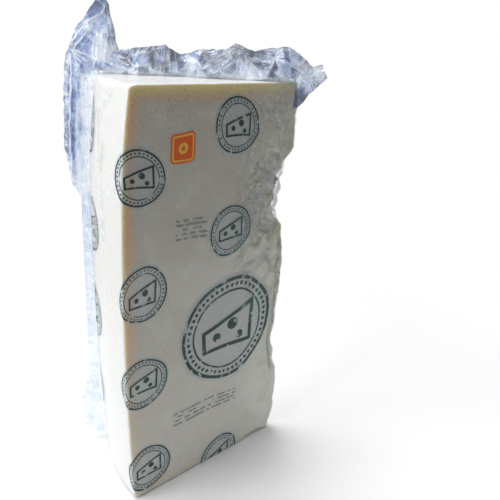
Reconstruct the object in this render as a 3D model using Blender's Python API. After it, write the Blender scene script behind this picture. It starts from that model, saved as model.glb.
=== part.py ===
"""A wedge of hard sheep's-milk cheese in a clear vacuum bag, at its real size.

The wedge is about a tenth of a wheel, cut from rind to heart, and it stands on the wheel's flat
face. Two nodes make it:

    cheese   the wedge: a bulging rind side, two knife cuts, a heart that broke instead of
             cutting, and a hollow where a lump came off the front cut beside the heart
    bag      the free film of the bag, which stands off the wedge in the plane of its back cut:
             the crumpled mouth over the top with its tall corner, the fin down the rind side
             and the ear past the heart. The film that clings to the cheese has no solid.

Everything is laid out from the wedge's front rind corner, with X along the front cut from rind to
heart, Y back through the wedge and Z up. The last step brings the middle of the base's bounding
box to the origin. Metres throughout.
"""

import math

import bmesh
import bpy
from mathutils import Vector, noise

# The wheel and its two cuts
WHEEL_HEIGHT = 0.300
WHEEL_RADIUS = 0.146
SIDE_BULGE = 0.0067
BULGE_HEIGHT = 0.180
RIM_ROUND = 0.0045
WEDGE_ANGLE = math.radians(34.0)
WEDGE_STEPS = 10
RIND_ROWS = 20

# The broken heart: how far the cheese reaches along the front cut, at each height
HEART_LINE = (
    (0.000, 0.1375), (0.025, 0.1440), (0.058, 0.1430), (0.072, 0.1385), (0.094, 0.1350),
    (0.112, 0.1380), (0.148, 0.1428), (0.170, 0.1405), (0.190, 0.1365), (0.200, 0.1302),
    (0.212, 0.1242), (0.228, 0.1278), (0.243, 0.1325), (0.256, 0.1405), (0.278, 0.1420),
    (0.300, 0.1400),
)  # fmt: skip
HEART_START = 0.0015
BREAK_STEP = 0.0045
BREAK_WIDTH = 0.034
BREAK_COLUMNS = 8
BREAK_MARGIN = 0.012

# The lumps of a break: their size and height along the heart, and their form anywhere
CRAG_SIZE = 0.013
CRAG_DEPTH = 0.0030
CRAG_STEEPNESS = 1.6
GRAIN_SHARE = 0.25
GRAIN_SIZE = 0.35

# Scoops out of the front cut: centre, half sizes, size and depth of the lumps in the floor
SCOOPS = {
    "hollow_top": ((0.1178, -0.0036, 0.2370), (0.0190, 0.0084, 0.0200), 0.013, 0.0030),
    "hollow_middle": ((0.1120, -0.0040, 0.2150), (0.0240, 0.0085, 0.0210), 0.014, 0.0034),
    "hollow_foot": ((0.1210, -0.0045, 0.1970), (0.0150, 0.0090, 0.0120), 0.010, 0.0024),
    "top_facet": ((0.1460, -0.0060, 0.2720), (0.0180, 0.0088, 0.0330), 0.030, 0.0012),
    "side_facet": ((0.1420, -0.0060, 0.1440), (0.0180, 0.0088, 0.0560), 0.025, 0.0012),
    "foot_chip": ((0.1210, -0.0020, -0.0010), (0.0150, 0.0060, 0.0050), 0.008, 0.0010),
}

# The bag's free edge in the seam plane, as (distance from the heart along the back cut, height)
FREE_EDGE = (
    (0.1540, 0.0030), (0.1650, 0.0120), (0.1675, 0.0380), (0.1600, 0.0600), (0.1600, 0.2120),
    (0.1655, 0.2200), (0.1697, 0.2500), (0.1680, 0.2900), (0.1655, 0.3120), (0.1565, 0.3295),
    (0.1448, 0.3455), (0.1392, 0.3475), (0.1360, 0.3400), (0.1346, 0.3300), (0.1330, 0.3230),
    (0.1312, 0.3145), (0.1228, 0.3166), (0.1002, 0.3201), (0.0892, 0.3139), (0.0763, 0.3182),
    (0.0570, 0.3193), (0.0516, 0.3235), (0.0373, 0.3194), (0.0148, 0.3239), (0.0034, 0.3172),
    (-0.0046, 0.3108), (-0.0110, 0.3129), (-0.0165, 0.3038), (-0.0063, 0.2943),
    (0.0045, 0.2817),
)  # fmt: skip
FILM_THICKNESS = 0.0014
CLEARANCE = 0.0004
SEAM_FORWARD = 0.0040
ROOT_INSET = 0.0090
ROOT_ROUND = 0.0040
STATION_STEP = 0.0050
FILM_COLUMNS = 7
FOLD_DEPTH = 0.0060
FOLD_ONSET = 1.6
FOLD_BEND = 0.045
FOLD_SWAY = 0.9
FOLDS = (
    # direction in the seam plane in degrees, distance between creases, share of FOLD_DEPTH
    (8, 0.034, 1.00),
    (67, 0.023, 0.55),
    (-38, 0.017, 0.42),
    (-74, 0.012, 0.22),
)

HALF_ANGLE = WEDGE_ANGLE / 2
HEART = Vector((WHEEL_RADIUS, 0.0, 0.0))
# Away from the rind along the wedge's middle, and across the wedge
HEARTWARD = Vector((math.cos(HALF_ANGLE), -math.sin(HALF_ANGLE), 0.0))
ACROSS = Vector((math.sin(HALF_ANGLE), math.cos(HALF_ANGLE), 0.0))
# Along the back cut from heart to rind, and out of that cut
BACKWARD = Vector((-math.cos(WEDGE_ANGLE), math.sin(WEDGE_ANGLE), 0.0))
BACK_NORMAL = Vector((math.sin(WEDGE_ANGLE), math.cos(WEDGE_ANGLE), 0.0))

CHEESE_COLOUR = (0.80, 0.74, 0.60, 1.0)
FILM_COLOUR = (0.70, 0.76, 0.86, 1.0)


def clear_scene():
    for item in list(bpy.data.objects):
        bpy.data.objects.remove(item)


def material(name, colour, roughness, alpha=1.0):
    made = bpy.data.materials.new(name)
    made.use_nodes = True
    shader = made.node_tree.nodes["Principled BSDF"]
    shader.inputs["Base Color"].default_value = colour
    shader.inputs["Roughness"].default_value = roughness
    shader.inputs["Metallic"].default_value = 0.0
    shader.inputs["Alpha"].default_value = alpha
    return made


def object_of(shape, name):
    """A named object from a bmesh, with its faces pointing out."""
    bmesh.ops.recalc_face_normals(shape, faces=shape.faces[:])
    mesh = bpy.data.meshes.new(name)
    shape.to_mesh(mesh)
    shape.free()
    made = bpy.data.objects.new(name, mesh)
    bpy.context.scene.collection.objects.link(made)
    return made


def subtract(item, cutter):
    cutter.hide_render = True
    cutter.display_type = "WIRE"
    cut = item.modifiers.new("cut_" + cutter.name, "BOOLEAN")
    cut.operation = "DIFFERENCE"
    cut.solver = "EXACT"
    cut.object = cutter


def join_rows(shape, rows):
    """Faces between rows of equally many vertices."""
    for before, after in zip(rows, rows[1:]):
        for a, b, c, d in zip(before, before[1:], after[1:], after):
            shape.faces.new((a, b, c, d))


# The cheese


def side_bulge(z):
    """How far the wheel's side stands out at height z. It is fullest above the middle."""
    if z > BULGE_HEIGHT:
        return SIDE_BULGE * (1 - ((z - BULGE_HEIGHT) / (WHEEL_HEIGHT - BULGE_HEIGHT)) ** 3)
    return SIDE_BULGE * (1 - ((BULGE_HEIGHT - z) / BULGE_HEIGHT) ** 2)


def rim_corner(centre_z, first_turn, grow):
    """Points round the wheel's lower or upper rim."""
    reach = WHEEL_RADIUS - RIM_ROUND + side_bulge(centre_z)
    radius = RIM_ROUND + grow
    turns = [math.radians(first_turn + 90 * step / 4) for step in range(5)]
    return [(reach + radius * math.cos(t), centre_z + radius * math.sin(t)) for t in turns]


def cut_outline(grow):
    """(distance from the heart, height) round one cut, made larger all round by grow."""
    side = []
    for row in range(1, RIND_ROWS):
        z = RIM_ROUND + (WHEEL_HEIGHT - 2 * RIM_ROUND) * row / RIND_ROWS
        side.append((WHEEL_RADIUS + side_bulge(z) + grow, z))
    return [
        (HEART_START, -grow),
        *rim_corner(RIM_ROUND, -90, grow),
        *side,
        *rim_corner(WHEEL_HEIGHT - RIM_ROUND, 0, grow),
        (HEART_START, WHEEL_HEIGHT + grow),
    ]


def wedge(name, grow=0.0):
    """The wedge as the knife would leave it: a cut's outline swept round the heart.

    A wedge made larger by grow has its heart moved out by slide, so that its cuts stand off by
    grow, and its radius is as much longer, so that its rind does too.
    """
    slide = grow / math.sin(HALF_ANGLE)
    shape = bmesh.new()
    outline = cut_outline(grow)
    face = shape.faces.new([shape.verts.new((WHEEL_RADIUS - slide - r, 0.0, z)) for r, z in outline])
    bmesh.ops.spin(
        shape,
        geom=[face, *face.edges, *face.verts],
        cent=HEART,
        axis=(0, 0, -1),
        angle=WEDGE_ANGLE,
        steps=WEDGE_STEPS,
    )
    bmesh.ops.translate(shape, verts=shape.verts[:], vec=HEARTWARD * slide)
    return object_of(shape, name)


def crag(point, size):
    """The facets of a break, from 0 in a crease to about 1 on a lump."""
    near, _ = noise.voronoi(point / size)
    lump = min(1.0, CRAG_STEEPNESS * (near[1] - near[0]))
    grain = 0.5 + 0.5 * noise.noise(point / (GRAIN_SIZE * size))
    return (1 - GRAIN_SHARE) * lump + GRAIN_SHARE * grain


def heart_reach(z):
    """The heart line at height z, eased between its points so that it has no corners."""
    if z <= HEART_LINE[0][0]:
        return HEART_LINE[0][1]
    for (low, first), (high, second) in zip(HEART_LINE, HEART_LINE[1:]):
        if z <= high:
            share = (z - low) / (high - low)
            return first + (second - first) * share * share * (3 - 2 * share)
    return HEART_LINE[-1][1]


def heart_break():
    """What broke off beyond the heart line: a block whose near side is a rough wall."""
    height = WHEEL_HEIGHT + 2 * BREAK_MARGIN
    count = round(height / BREAK_STEP)
    shape = bmesh.new()
    rows = []
    for i in range(count + 1):
        z = height * i / count - BREAK_MARGIN
        row = []
        for j in range(BREAK_COLUMNS + 1):
            side = BREAK_WIDTH * (j / BREAK_COLUMNS - 0.25)
            at = Vector((heart_reach(z), 0.0, z)) + ACROSS * side
            row.append(shape.verts.new(at - HEARTWARD * CRAG_DEPTH * crag(at, CRAG_SIZE)))
        rows.append(row)
    join_rows(shape, rows)
    for v in bmesh.ops.extrude_face_region(shape, geom=shape.faces[:])["geom"]:
        if isinstance(v, bmesh.types.BMVert):
            v.co += HEARTWARD * (BREAK_MARGIN - (v.co - HEART).dot(HEARTWARD))
    return object_of(shape, "heart_break")


def scoop(name, centre, half_sizes, lump_size, lump_depth):
    """A ball squashed to its half sizes, with the lumps of a break in its skin."""
    shape = bmesh.new()
    bmesh.ops.create_icosphere(shape, subdivisions=4, radius=1.0)
    for v in shape.verts:
        out = v.co.normalized()
        at = Vector(centre) + out * Vector(half_sizes)
        v.co = at - out * lump_depth * crag(at, lump_size)
    return object_of(shape, name)


def cheese():
    made = wedge("cheese")
    subtract(made, heart_break())
    for name, measures in SCOOPS.items():
        subtract(made, scoop(name, *measures))
    made.data.materials.append(material("cheese", CHEESE_COLOUR, 0.55))
    return made


# The bag


def on_seam(s, z, forward):
    """The point at distance s from the heart and height z, ahead of the back cut."""
    return HEART + BACKWARD * s - BACK_NORMAL * (SEAM_FORWARD + forward) + Vector((0, 0, z))


def film_root(edge):
    """Where the free film that ends at edge starts: inside the cheese's outline, all round."""
    heart_end = WHEEL_RADIUS - HEART_LINE[-1][1]
    inset = ROOT_INSET + ROOT_ROUND
    s = min(max(edge.x, heart_end + inset), WHEEL_RADIUS - inset)
    core = Vector((s, min(edge.y, WHEEL_HEIGHT - inset)))
    return core + (edge - core).normalized() * ROOT_ROUND


def edge_stations():
    """Points evenly along the free edge."""
    stations = []
    for start, end in zip(FREE_EDGE, FREE_EDGE[1:]):
        start, end = Vector(start), Vector(end)
        count = max(1, round((end - start).length / STATION_STEP))
        stations += [start.lerp(end, i / count) for i in range(count)]
    return [*stations, Vector(FREE_EDGE[-1])]


def fold(s, z):
    """Height of the crumpled film over the seam plane: creases, with flats between them."""
    height = 0.0
    for degrees, pitch, share in FOLDS:
        turn = math.radians(degrees)
        along = (s * math.cos(turn) + z * math.sin(turn)) / pitch
        along += FOLD_SWAY * noise.noise(Vector((s, z, pitch)) / FOLD_BEND)
        height += share * (abs(along % 2.0 - 1.0) - 0.5)
    return FOLD_DEPTH * height


def bag():
    """The free film as one closed strip, cut off where it would enter the cheese."""
    shape = bmesh.new()
    rows = []
    for edge in edge_stations():
        root = film_root(edge)
        width = (edge - root).length
        row = []
        for j in range(FILM_COLUMNS + 1):
            s, z = root.lerp(edge, j / FILM_COLUMNS)
            loose = (width * j / FILM_COLUMNS - ROOT_INSET) / (width - ROOT_INSET)
            onset = min(1.0, max(0.0, FOLD_ONSET * loose))
            row.append(shape.verts.new(on_seam(s, z, fold(s, z) * onset)))
        rows.append(row)
    join_rows(shape, rows)
    made = object_of(shape, "bag")
    wall = made.modifiers.new("film_thickness", "SOLIDIFY")
    wall.thickness = FILM_THICKNESS
    wall.offset = 0.0
    subtract(made, wedge("cheese_room", CLEARANCE))
    made.data.materials.append(material("film", FILM_COLOUR, 0.15, alpha=0.35))
    return made


def stand_on_origin(pieces):
    """Parents everything to one empty, which brings the middle of the base to the origin."""
    bpy.context.view_layer.update()
    graph = bpy.context.evaluated_depsgraph_get()
    points = [
        piece.matrix_world @ v.co
        for piece in pieces
        for v in piece.evaluated_get(graph).data.vertices
    ]
    low, high = (Vector(map(pick, zip(*points))) for pick in (min, max))
    holder = bpy.data.objects.new("pack", None)
    bpy.context.scene.collection.objects.link(holder)
    holder.location = -Vector(((low.x + high.x) / 2, (low.y + high.y) / 2, low.z))
    for item in bpy.data.objects:
        if item.type == "MESH":
            item.parent = holder


def main():
    clear_scene()
    stand_on_origin([cheese(), bag()])


main()
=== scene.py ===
# %% [markdown]
# # A wedge of hard sheep's-milk cheese in a clear vacuum bag
#
# The wedge is about a tenth of a wheel, standing on the wheel's flat face. Four things are seen:
# the pale, crumbly cheese with its straw-yellow band under the rind, the clear film that the
# vacuum pulls tight round it, the print on that film, and the crumpled loose film of the bag,
# which stands up behind the wedge as a mouth over the top and as a fin down the rind side.
#
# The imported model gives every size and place. It is loaded first, and nothing in it is moved.

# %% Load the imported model, which is the frame that everything sits in
import math
import random

import bpy
import numpy as np
from mathutils import Matrix, Vector, geometry, noise
from mathutils.bvhtree import BVHTree


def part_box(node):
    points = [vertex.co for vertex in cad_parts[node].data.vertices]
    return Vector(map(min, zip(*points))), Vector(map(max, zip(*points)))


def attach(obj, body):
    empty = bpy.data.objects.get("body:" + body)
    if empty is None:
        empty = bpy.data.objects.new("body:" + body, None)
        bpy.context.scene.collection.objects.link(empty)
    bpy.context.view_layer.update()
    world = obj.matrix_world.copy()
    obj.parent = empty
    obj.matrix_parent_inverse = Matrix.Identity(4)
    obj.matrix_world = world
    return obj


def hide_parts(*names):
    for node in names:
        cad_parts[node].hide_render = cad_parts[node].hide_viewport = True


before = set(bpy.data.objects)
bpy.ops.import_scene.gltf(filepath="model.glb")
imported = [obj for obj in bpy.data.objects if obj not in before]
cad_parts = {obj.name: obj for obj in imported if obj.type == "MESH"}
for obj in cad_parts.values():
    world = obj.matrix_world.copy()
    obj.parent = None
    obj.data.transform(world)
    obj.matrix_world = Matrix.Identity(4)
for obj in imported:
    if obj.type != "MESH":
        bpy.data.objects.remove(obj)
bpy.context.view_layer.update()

# %% [markdown]
# ## The wheel behind the wedge
#
# A wedge is easiest to describe from the wheel that it was cut from: its height, its radius, how
# far its side bulges, and the angle between the two cuts. These are the same driving sizes as in
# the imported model. The front rind corner comes from the model's own box, so the looks land on it.

# %% The wheel's sizes and the directions of its cuts
MM = 0.001
WHEEL_RADIUS = 146 * MM
SIDE_BULGE = 6.7 * MM
BULGE_HEIGHT = 180 * MM
RIM_ROUND = 4.5 * MM
WEDGE_ANGLE = math.radians(34)
SEAM_FORWARD = 4 * MM

cheese_low, cheese_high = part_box("cheese")
WHEEL_HEIGHT = cheese_high.z
front_corner = Vector((cheese_low.x + SIDE_BULGE, cheese_low.y, 0.0))
heart = front_corner + Vector((WHEEL_RADIUS, 0, 0))
BACKWARD = Vector((-math.cos(WEDGE_ANGLE), math.sin(WEDGE_ANGLE), 0))
BACK_NORMAL = Vector((math.sin(WEDGE_ANGLE), math.cos(WEDGE_ANGLE), 0))
print("front rind corner, mm:", [round(1000 * n, 1) for n in front_corner])

# %% [markdown]
# ## The camera
#
# The camera stands to the left of the front cut and a little above the wedge, close enough that
# the foot looks narrower than the top. Its tilt and roll are given as three turns, which is how a
# photographer would say it: swing to the heading, tip down, then roll the frame a little.

# %% Place the camera at the photo's view
CAMERA_FROM_CORNER = Vector((-178.1, -291.5, 332.6)) * MM
HEADING = math.radians(-43.91)
TIP_DOWN = math.radians(20.87)
ROLL = math.radians(3.67)
FIELD_OF_VIEW = math.radians(47.0)

turn = (
    Matrix.Rotation(HEADING, 3, "Z")
    @ Matrix.Rotation(math.pi / 2 - TIP_DOWN, 3, "X")
    @ Matrix.Rotation(ROLL, 3, "Z")
)
bpy.ops.object.select_all(action="DESELECT")
bpy.ops.object.camera_add(location=front_corner + CAMERA_FROM_CORNER, rotation=turn.to_euler())
camera = bpy.context.active_object
camera.name = "photo_camera"
camera.data.angle = FIELD_OF_VIEW
camera.data.clip_start = 0.01
bpy.context.scene.camera = camera
print("camera at, mm:", [round(1000 * n) for n in camera.location])

# %% [markdown]
# ## Shader maths as plain Python
#
# A finish is a formula: colour here, gloss there, as a function of place. Blender writes formulas
# as nodes. One small class wraps a node's output, so that `1 - mask * 0.5` in Python adds the Math
# nodes for it, and one method adds any other node from its settings and values. The same class
# serves for the materials and for the sky.

# %% A wrapped number with Python's operators
def operator(name, reflected=False):
    """One of Python's operators for values: it adds a Math node."""

    def operate(self, *others):
        values = (*others, self) if reflected else (self, *others)
        return self.finish.maths(name, *values)

    return operate


class Value:
    """The output of a shader node."""

    __add__ = __radd__ = operator("ADD")
    __mul__ = __rmul__ = operator("MULTIPLY")
    __sub__, __rsub__ = operator("SUBTRACT"), operator("SUBTRACT", reflected=True)
    __truediv__, __rtruediv__ = operator("DIVIDE"), operator("DIVIDE", reflected=True)
    __pow__, __abs__ = operator("POWER"), operator("ABSOLUTE")
    least, most = operator("MINIMUM"), operator("MAXIMUM")
    floor, fraction, arctan2 = operator("FLOOR"), operator("FRACT"), operator("ARCTAN2")

    def __init__(self, finish, socket):
        self.finish = finish
        self.socket = socket

    def rise(self, low, high):
        """0 below low, 1 above high, eased between them."""
        values = {"Value": self, "From Min": low, "From Max": high}
        return self.finish.node("ShaderNodeMapRange", {"interpolation_type": "SMOOTHSTEP"}, values)

    def fall(self, low, high):
        """1 below low, 0 above high, eased between them."""
        return 1 - self.rise(low, high)

    def output(self, name):
        """Another output of the same node."""
        return Value(self.finish, self.socket.node.outputs[name])


print("shader operators ready")

# %% A finish, which holds the nodes of a material or a world
class Finish:
    """The nodes of a material or a world, and the few kinds of them that are used most."""

    def __init__(self, owner):
        self.owner = owner
        owner.use_nodes = True
        self.tree = owner.node_tree
        self.tree.nodes.clear()

    def node(self, kind, settings=None, values=None, output=0):
        """A node of any kind: its settings first, then its sockets' values or links."""
        made = self.tree.nodes.new(kind)
        for name, setting in (settings or {}).items():
            if name == "stops":
                self.set_stops(made.color_ramp, setting)
            else:
                setattr(made, name, setting)
        for key, value in (values or {}).items():
            if isinstance(value, Value):
                self.tree.links.new(value.socket, made.inputs[key])
            else:
                made.inputs[key].default_value = value
        return Value(self, made.outputs[output]) if len(made.outputs) else made

    @staticmethod
    def set_stops(ramp, stops):
        while len(ramp.elements) < len(stops):
            ramp.elements.new(1.0)
        for element, (place, colour) in zip(ramp.elements, stops):
            element.position = place
            element.color = (*colour, 1.0)

    def maths(self, operation, *values):
        return self.node("ShaderNodeMath", {"operation": operation}, dict(enumerate(values)))

    def parts(self, whole):
        """X, Y and Z of a vector."""
        first = self.node("ShaderNodeSeparateXYZ", None, {0: whole})
        return first, first.output("Y"), first.output("Z")

    def place(self):
        """X, Y and Z of the point, in metres, and the whole vector."""
        whole = self.node("ShaderNodeTexCoord", output="Object")
        return *self.parts(whole), whole

    def noise(self, where, size, detail=3.0, roughness=0.5):
        """Cloudy noise from 0 to 1 whose blotches are about as large as size."""
        values = {"Vector": where, "Scale": 1 / size, "Detail": detail, "Roughness": roughness}
        return self.node("ShaderNodeTexNoise", None, values)

    def cells(self, where, size, feature="F1"):
        """Distance from the nearest of points strewn about size apart, in units of size, or from
        the border between two of them where feature says so."""
        values = {"Vector": where, "Scale": 1 / size}
        return self.node("ShaderNodeTexVoronoi", {"feature": feature}, values)

    def attribute(self, name):
        return self.node("ShaderNodeAttribute", {"attribute_name": name}, output="Fac")

    def tint(self, share, first, second):
        """The colour first, turned into the colour second by share."""
        ends = [c if isinstance(c, Value) else (*c, 1.0) for c in (first, second)]
        values = {0: share, 6: ends[0], 7: ends[1]}
        return self.node("ShaderNodeMix", {"data_type": "RGBA"}, values, output=2)

    def ramp(self, share, stops):
        """The colour that a row of stops has at share."""
        return self.node("ShaderNodeValToRGB", {"stops": stops}, {0: share})

    def bump(self, height, depth):
        """Normals tilted as if the surface rose by depth where height is 1."""
        values = {"Height": height, "Distance": depth, "Strength": 1.0}
        return self.node("ShaderNodeBump", None, values)

    def mixed(self, share, first, second):
        """The shader first, turned into the shader second by share."""
        return self.node("ShaderNodeMixShader", None, {0: share, 1: first, 2: second})

    def surface(self, shader, kind="ShaderNodeOutputMaterial"):
        """Shows a shader on the surface, and returns the material or world."""
        self.node(kind, None, {"Surface": shader})
        return self.owner


print("shader helpers ready")

# %% [markdown]
# ## The cheese's body
#
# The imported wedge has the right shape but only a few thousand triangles, which is too coarse for a
# crumbly break. Modelling every crumb by hand would take days. So a copy of the wedge is merged,
# rebuilt with an even grid of small faces by the Remesh modifier, and softened a little, because
# cut cheese under a vacuum has no razor edges. The grid then carries the finer relief.

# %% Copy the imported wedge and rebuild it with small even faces
GRID = 1.25 * MM


def pick(piece):
    """Makes one object the only selected one and the active one."""
    bpy.ops.object.select_all(action="DESELECT")
    piece.hide_set(False)
    piece.select_set(True)
    bpy.context.view_layer.objects.active = piece


def copy_of(source, name):
    """A copy of an object with its own mesh."""
    pick(source)
    bpy.ops.object.duplicate()
    made = bpy.context.active_object
    made.name = made.data.name = name
    made.data.materials.clear()
    return made


def modify(piece, kind, **settings):
    """Adds a modifier and applies it at once."""
    bpy.context.view_layer.objects.active = piece
    bpy.ops.object.modifier_add(type=kind)
    added = piece.modifiers[-1]
    for name, value in settings.items():
        setattr(added, name, value)
    bpy.ops.object.modifier_apply(modifier=added.name)


cheese_wedge = copy_of(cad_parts["cheese"], "cheese_wedge")
bpy.ops.object.mode_set(mode="EDIT")
bpy.ops.mesh.select_all(action="SELECT")
bpy.ops.mesh.remove_doubles(threshold=0.01 * MM)
bpy.ops.object.mode_set(mode="OBJECT")
modify(cheese_wedge, "REMESH", mode="VOXEL", voxel_size=GRID, use_smooth_shade=True)
modify(cheese_wedge, "SMOOTH", factor=0.5, iterations=2)
print("cheese faces:", len(cheese_wedge.data.polygons))

# %% [markdown]
# ## Where the knife went and where the cheese broke
#
# A knife leaves a smooth cut, and a break leaves lumps. Which is which can be worked out from the
# shape alone: a point on a clean side of the wedge has no depth under it, and a point in a break
# lies well inside the wedge that the knife would have left. That depth gives a soft mask, kept as
# a vertex group, so that a modifier acts on the broken faces only. Beside the break the cut is
# rough in patches as well, because the knife tore the dry heart of the wheel there. Lower down, a
# strip along the heart edge is crumbly too, and ends in a thin crack. Above the notch the break is
# calmer.

# %% Read and write a piece's points
def read(things, name, width=1, kind=float):
    """One property of every vertex, face or face corner, as an array."""
    flat = np.empty(len(things) * width, dtype=kind)
    things.foreach_get(name, flat)
    return flat.reshape(-1, width) if width > 1 else flat


def points_of(piece):
    return read(piece.data.vertices, "co", 3)


def normals_of(piece):
    return read(piece.data.vertex_normals, "vector", 3)


def put_points(piece, points):
    piece.data.vertices.foreach_set("co", points.ravel())
    piece.data.update()


def keep(piece, **fields):
    """Keeps numbers for every vertex as attributes, which a finish can read."""
    for name, values in fields.items():
        kept = piece.data.attributes.new(name, "FLOAT", "POINT")
        kept.data.foreach_set("value", values)


body = points_of(cheese_wedge)
print("cheese points:", len(body))

# %% Measure how deep each point lies inside the clean wedge
def rise(values, low, high):
    """0 below low, 1 above high, eased between them."""
    share = np.clip((values - low) / (high - low), 0, 1)
    return share * share * (3 - 2 * share)


def side_bulge(z):
    """How far the wheel's side stands out at each height. It is fullest above the middle."""
    above = np.clip((z - BULGE_HEIGHT) / (WHEEL_HEIGHT - BULGE_HEIGHT), 0, 1)
    below = np.clip((BULGE_HEIGHT - z) / BULGE_HEIGHT, 0, 1)
    return SIDE_BULGE * (1 - above**3 - below**2)


def depth_under_crust(points):
    """Depth under the wheel's own skin: its side, its top and its foot, with round rims."""
    radius = np.hypot(points[:, 0] - heart.x, points[:, 1] - heart.y)
    out = radius - (WHEEL_RADIUS + side_bulge(points[:, 2]) - RIM_ROUND)
    up = abs(points[:, 2] - WHEEL_HEIGHT / 2) - (WHEEL_HEIGHT / 2 - RIM_ROUND)
    outside = np.hypot(np.maximum(out, 0), np.maximum(up, 0))
    return RIM_ROUND - outside - np.minimum(np.maximum(out, up), 0)


def depth_under_cuts(points):
    """Depth behind the front cut and before the back cut."""
    front = points[:, 1] - front_corner.y
    back = (heart.x - points[:, 0]) * BACK_NORMAL.x + (heart.y - points[:, 1]) * BACK_NORMAL.y
    return front, back


BROKEN_FROM = (0.7 * MM, 2.0 * MM)
front_depth, back_depth = depth_under_cuts(body)
clean_depth = np.minimum(np.minimum(front_depth, back_depth), depth_under_crust(body))
broken = rise(clean_depth, *BROKEN_FROM)
print("share of the surface that is broken:", round(float(broken.mean()), 3))

# %% Find where the cut is torn, and keep the masks
HEIGHT_STEP = 2 * MM
# Each pair is where a mask starts to rise or to fall and where it has done so, in millimetres:
# along the front cut, behind it, from the heart edge inward, or up.
TORN_ALONG, TORN_BEHIND = (78, 104), (3, 8)
TORN_FOOT, TORN_TOP = (130, 165), (286, 298)
CRAGS_INWARD, CRAGS_FOOT, CRAGS_TOP = (5, 9), (95, 112), (174, 190)
CRACK_FOOT, CRACK_TOP = (55, 66), (98, 106)
CRACK_INWARD, CRACK_HALF, CRACK_DEPTH = 6.5, 1.3, 1.6 * MM
NOTCH_FOOT, NOTCH_TOP = (165, 185), (232, 244)
CALMER_UP, CALMER_BY = (238, 252), 0.55


def within(values, start, end):
    """1 between the ramps start and end, 0 outside them."""
    return rise(values, *start) * (1 - rise(values, *end))


def mark(piece, name, weights):
    """Keeps one weight a vertex as a vertex group."""
    group = piece.vertex_groups.new(name=name)
    for index in np.nonzero(weights > 0.01)[0]:
        group.add([int(index)], float(weights[index]), "REPLACE")


def cloud(points, size, seed):
    """Soft noise from about -0.5 to 0.5 at each point, with blotches about as large as size."""
    shift = Vector((seed, 2 * seed, 3 * seed))
    return np.array([noise.noise(Vector(point) / size + shift) for point in points])


def heart_reach(points):
    """How far the heart edge reaches along X, at the height of each point."""
    heights = np.arange(0, WHEEL_HEIGHT, HEIGHT_STEP)
    reach = [points[abs(points[:, 2] - h) < HEIGHT_STEP, 0].max() for h in heights]
    return np.interp(points[:, 2], heights, reach)


up = body[:, 2] / MM
inward = (heart_reach(body) - body[:, 0]) / MM
on_front = rise(-normals_of(cheese_wedge)[:, 1], 0.3, 0.8)
calmer = 1 - rise(up, *CALMER_UP) * CALMER_BY

along = (body[:, 0] - front_corner.x) / MM
torn = rise(along, *TORN_ALONG) * (1 - rise(front_depth / MM, *TORN_BEHIND))
torn *= within(up, TORN_FOOT, TORN_TOP) * rise(cloud(body, 11 * MM, 4), -0.20, 0.12)
crags = (1 - rise(inward, *CRAGS_INWARD)) * within(up, CRAGS_FOOT, CRAGS_TOP)
torn = np.maximum(torn, crags) * (on_front * 0.85 + 0.15) * calmer
crack = np.exp(-(((inward - CRACK_INWARD) / CRACK_HALF) ** 2))
crack = crack * within(up, CRACK_FOOT, CRACK_TOP) * on_front
body[:, 1] += crack * CRACK_DEPTH
put_points(cheese_wedge, body)

in_notch = within(up, NOTCH_FOOT, NOTCH_TOP)
rough = broken * (np.maximum(in_notch, on_front) * 0.8 + 0.2) * calmer
for name, weights in (("rough", rough), ("torn", np.maximum(torn, rough)), ("clean", 1 - broken)):
    mark(cheese_wedge, name, weights)
keep(
    cheese_wedge,
    crumbly=np.maximum(torn, broken * calmer),
    # where shade is painted into the thin crack and, more weakly, into the crumbly strip by the
    # heart edge
    crevice=np.maximum(crack, crags * 0.45),
)
print("share of the surface that is torn:", round(float(torn.mean()), 3))

# %% [markdown]
# ## The heart edge's outline
#
# Seen from the side, the heart edge runs straight down from the top, ends in a round corner over
# the notch, and swells out again under it. A few millimetres at given heights draw that: each
# point near the edge is moved straight out of the wedge by its share. The film is moved by the same
# function later, and further, because film spans a notch instead of following it. It starts from
# this smooth form, before the break is made rough, so the copy is made here.

# %% Swell the heart edge, and put a copy aside for the film
EDGE_BLEND = 24 * MM
# height, and how far the edge moves outward there, in millimetres
EDGE_SWELL = (
    (0, 0.3), (187, 0.5), (194, 2.2), (203, -1.2), (211, 4.6), (219, 5.0), (227, 2.2), (235, 3.2),
    (243, 0.8), (250, 2.8), (262, 2.7), (280, 2.0), (293, 0.4), (300, 0),
)  # fmt: skip


def swell(piece, amounts):
    """Moves the heart edge outward by the amounts that are given for some heights."""
    points = points_of(piece)
    edge = heart_reach(points)
    given_heights, given = np.array(amounts).T * MM
    near_edge = rise(points[:, 0], edge - EDGE_BLEND, edge)
    moved = np.interp(points[:, 2], given_heights, given) * near_edge
    outward = np.array((math.cos(WEDGE_ANGLE / 2), -math.sin(WEDGE_ANGLE / 2), 0))
    put_points(piece, points + outward * moved[:, None])
    return moved


swell(cheese_wedge, EDGE_SWELL)
clinging_film = copy_of(cheese_wedge, "clinging_film")
print("edge swollen by up to, mm:", max(out for _, out in EDGE_SWELL))

# %% [markdown]
# ## Lumps and crumbs
#
# A break in hard cheese has lumps the size of a pea with crumbs on them. The Displace modifier
# pushes the surface in and out by a texture. A cloud texture gives the large swells, and two cell
# textures, one coarse and one fine, give lumps with creases between them. The clean sides get only
# the faint waves that a knife leaves. First the rims of the hollows are rounded, because nothing
# breaks along a clean arc.

# %% Push the relief into the surface
def relief(name, kind, size, **settings):
    """A texture for the Displace modifier whose lumps are about as large as size."""
    made = bpy.data.textures.new(name, kind)
    made.noise_scale = size
    for key, value in settings.items():
        setattr(made, key, value)
    return made


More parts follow.
